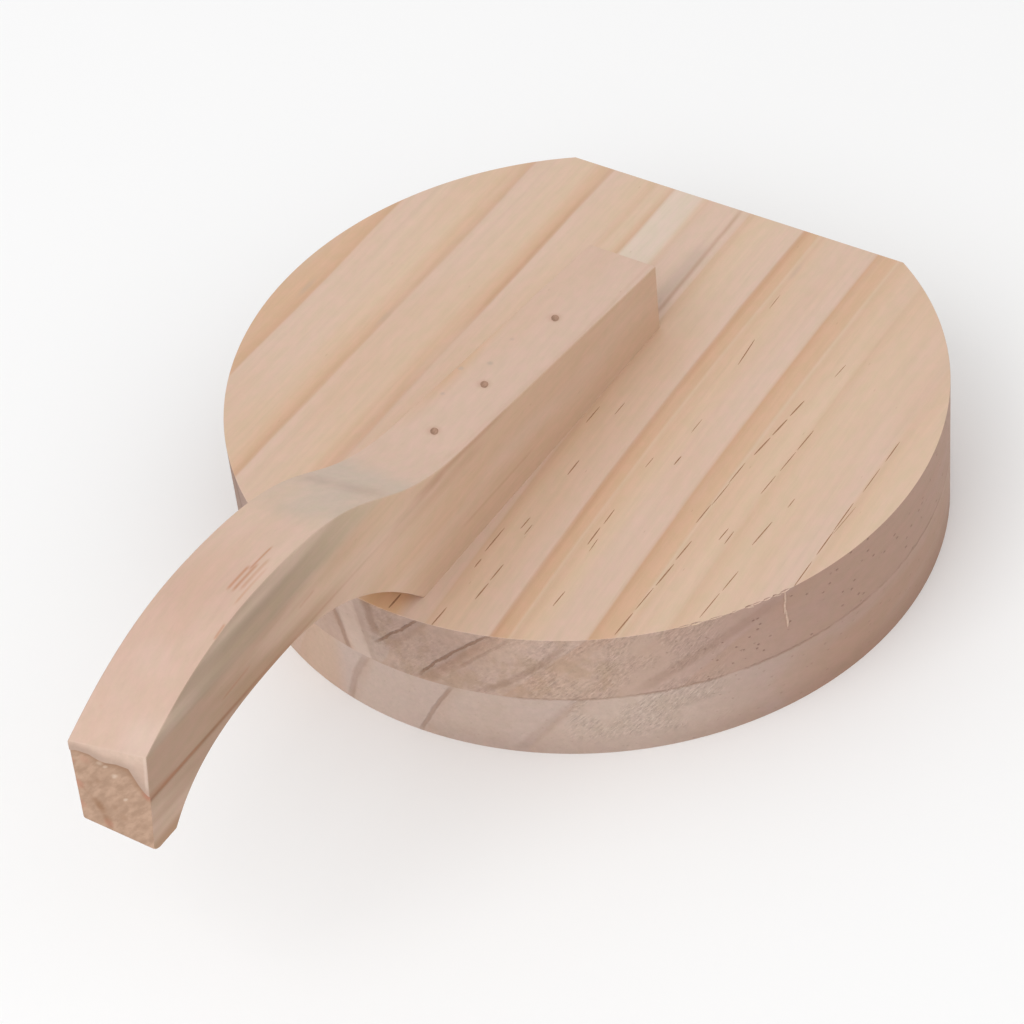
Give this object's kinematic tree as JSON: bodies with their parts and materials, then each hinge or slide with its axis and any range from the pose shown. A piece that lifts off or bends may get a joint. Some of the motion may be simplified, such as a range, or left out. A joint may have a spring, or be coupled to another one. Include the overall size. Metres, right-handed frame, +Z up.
{
  "type": "tortilla press",
  "caption": "Wooden hand press: round pine boards hinged at a flat back, with a raised goose-neck handle nailed to the lid, for flattening dough.",
  "frame": {"origin": "middle of the round boards, on the flat face that the press stands on", "axes": "+X to the right, +Y to the hinges at the back, -Y towards the free end of the handle, +Z up"},
  "size_m": [0.178, 0.2624, 0.0894],
  "materials": {
    "pine_lower": "bare sawn pine, unfinished",
    "pine_lid": "bare sanded pine, unfinished",
    "pine_handle": "bare sawn and sanded pine, unfinished",
    "brad_steel": "bright wire",
    "hinge_brass": "satin brass",
    "pin_steel": "satin steel",
    "screw_brass": "satin brass"
  },
  "bodies": {
    "base": {"lower_board": "pine_lower", "left_hinge_lower_leaf": "hinge_brass", "left_hinge_pin": "pin_steel", "left_hinge_lower_screws": "screw_brass", "right_hinge_lower_leaf": "hinge_brass", "right_hinge_pin": "pin_steel", "right_hinge_lower_screws": "screw_brass"},
    "lid": {"lid_board": "pine_lid", "handle": "pine_handle", "handle_brads": "brad_steel", "left_hinge_lid_leaf": "hinge_brass", "left_hinge_lid_screws": "screw_brass", "right_hinge_lid_leaf": "hinge_brass", "right_hinge_lid_screws": "screw_brass"}
  },
  "joints": [
    {"name": "lid_hinge", "type": "hinge", "parent": "base", "child": "lid", "pos_m": [0, 0.07732, 0.0185], "axis": [-1, 0, 0], "range_deg": [0, 159]}
  ]
}
